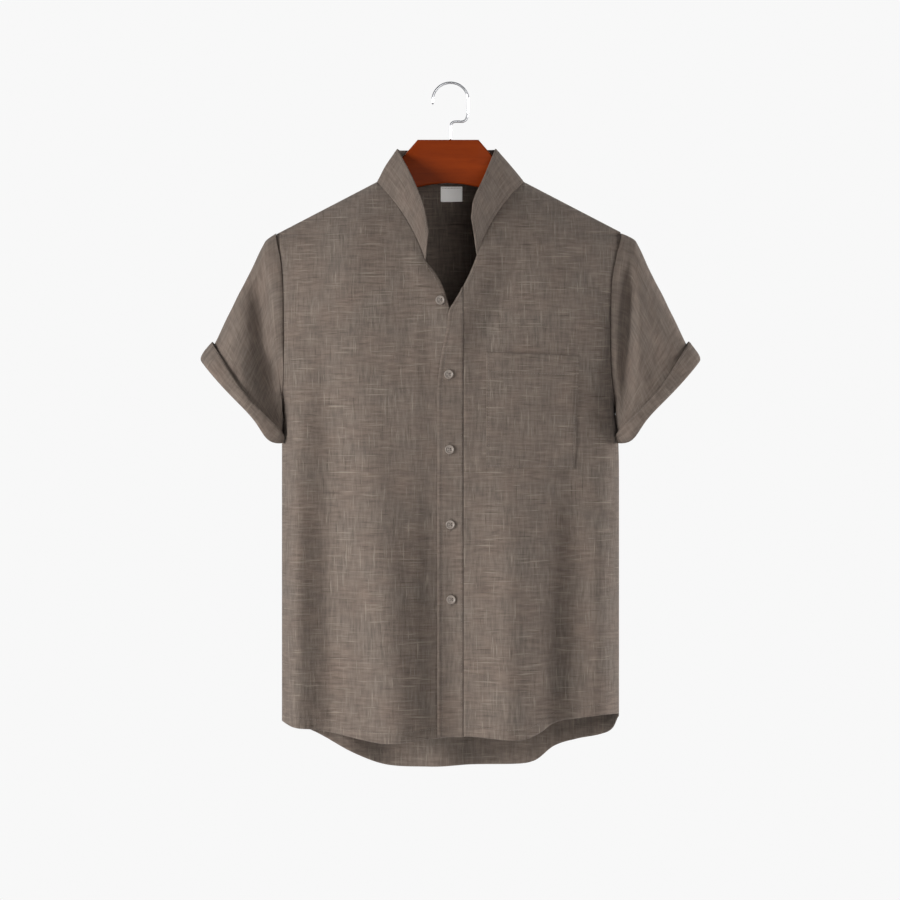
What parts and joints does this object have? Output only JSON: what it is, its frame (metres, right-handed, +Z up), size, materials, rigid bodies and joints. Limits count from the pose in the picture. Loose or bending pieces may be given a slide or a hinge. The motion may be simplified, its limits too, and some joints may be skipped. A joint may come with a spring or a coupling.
{
  "type": "mandarin collar shirt on a hanger",
  "caption": "Short-sleeved buttoned shirt with an open stand collar, chest pocket and turned-up cuffs, hung on a wooden hanger with a wire hook.",
  "frame": {"origin": "inside top of the hanger's hook, where a rail holds it", "axes": "+Z up, -Y towards the shirt's front, +X towards the wearer's left"},
  "size_m": [0.6256, 0.1687, 0.8604],
  "materials": {
    "cloth": "matt slubbed linen-look plain weave, brown-grey",
    "button_plastic": "satin taupe four-hole buttons",
    "label_tape": "bare woven label, pale grey",
    "lacquered_wood": "red-brown lacquered wood",
    "steel_wire": "bright plated wire"
  },
  "bodies": {
    "root": {"front_left": "cloth", "front_right": "cloth", "placket": "cloth", "back": "cloth", "sleeve_left": "cloth", "sleeve_right": "cloth", "cuff_left": "cloth", "cuff_right": "cloth", "collar": "cloth", "pocket": "cloth", "button_1": "button_plastic", "button_2": "button_plastic", "button_3": "button_plastic", "button_4": "button_plastic", "button_5": "button_plastic", "label": "label_tape", "hanger_wood": "lacquered_wood", "hanger_hook": "steel_wire"}
  },
  "joints": []
}
